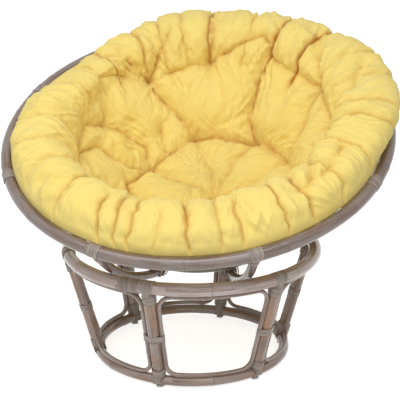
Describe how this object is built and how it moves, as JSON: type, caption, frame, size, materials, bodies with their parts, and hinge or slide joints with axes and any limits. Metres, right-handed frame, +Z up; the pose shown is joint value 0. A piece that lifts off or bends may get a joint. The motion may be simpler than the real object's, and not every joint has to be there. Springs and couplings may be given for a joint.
{
  "type": "papasan chair",
  "caption": "Round bowl-shaped lounge chair: a tufted cushion in a tilting bowl of bent rattan poles on an open drum-shaped rattan base.",
  "frame": {"origin": "on the floor under the middle of the chair's bounding box, with the bowl tilted as in the picture", "axes": "+Z up, -Y towards the lowered front edge of the bowl, +X to the right as the chair is seen from the front"},
  "size_m": [1.0984, 1.0136, 0.8972],
  "materials": {
    "rattan": "peeled and bent rattan pole, greyed brown, clear gloss varnish",
    "peel": "flat rattan peel wound round the joints, satin varnish",
    "cotton": "crumpled matte cotton, warm yellow, sewn tufts",
    "glide": "pale moulded plastic"
  },
  "bodies": {
    "base": {"base_top_ring": "rattan", "base_bottom_ring": "rattan", "post_1": "rattan", "window_cane_1": "rattan", "top_binding_1": "peel", "mid_binding_1": "peel", "bottom_binding_1": "peel", "foot_glide_1": "glide", "post_2": "rattan", "window_cane_2": "rattan", "top_binding_2": "peel", "mid_binding_2": "peel", "bottom_binding_2": "peel", "foot_glide_2": "glide", "post_3": "rattan", "window_cane_3": "rattan", "top_binding_3": "peel", "mid_binding_3": "peel", "bottom_binding_3": "peel", "foot_glide_3": "glide", "post_4": "rattan", "window_cane_4": "rattan", "top_binding_4": "peel", "mid_binding_4": "peel", "bottom_binding_4": "peel", "foot_glide_4": "glide", "post_5": "rattan", "window_cane_5": "rattan", "top_binding_5": "peel", "mid_binding_5": "peel", "bottom_binding_5": "peel", "foot_glide_5": "glide", "post_6": "rattan", "window_cane_6": "rattan", "top_binding_6": "peel", "mid_binding_6": "peel", "bottom_binding_6": "peel", "foot_glide_6": "glide"},
    "bowl": {"bowl_rim": "rattan", "bowl_lower_ring": "rattan", "bowl_rib_1": "rattan", "bowl_rib_2": "rattan", "bowl_rib_3": "rattan", "bowl_rib_4": "rattan", "bowl_rib_5": "rattan", "bowl_rib_6": "rattan", "bowl_rib_7": "rattan", "bowl_rib_8": "rattan", "rim_binding_1": "peel", "rim_binding_2": "peel", "rim_binding_3": "peel", "rim_binding_4": "peel", "rim_binding_5": "peel", "rim_binding_6": "peel", "rim_binding_7": "peel", "rim_binding_8": "peel"},
    "cushion": {"cushion": "cotton"}
  },
  "joints": [
    {"name": "bowl_tilt", "type": "hinge", "parent": "base", "child": "bowl", "pos_m": [0, -0.08377, 0.8113], "axis": [1, 0, 0], "range_deg": [-23, 6]},
    {"name": "cushion_lift", "type": "slide", "parent": "bowl", "child": "cushion", "axis": [0, -0.3907, 0.9205], "range_m": [0, 0.45]}
  ]
}
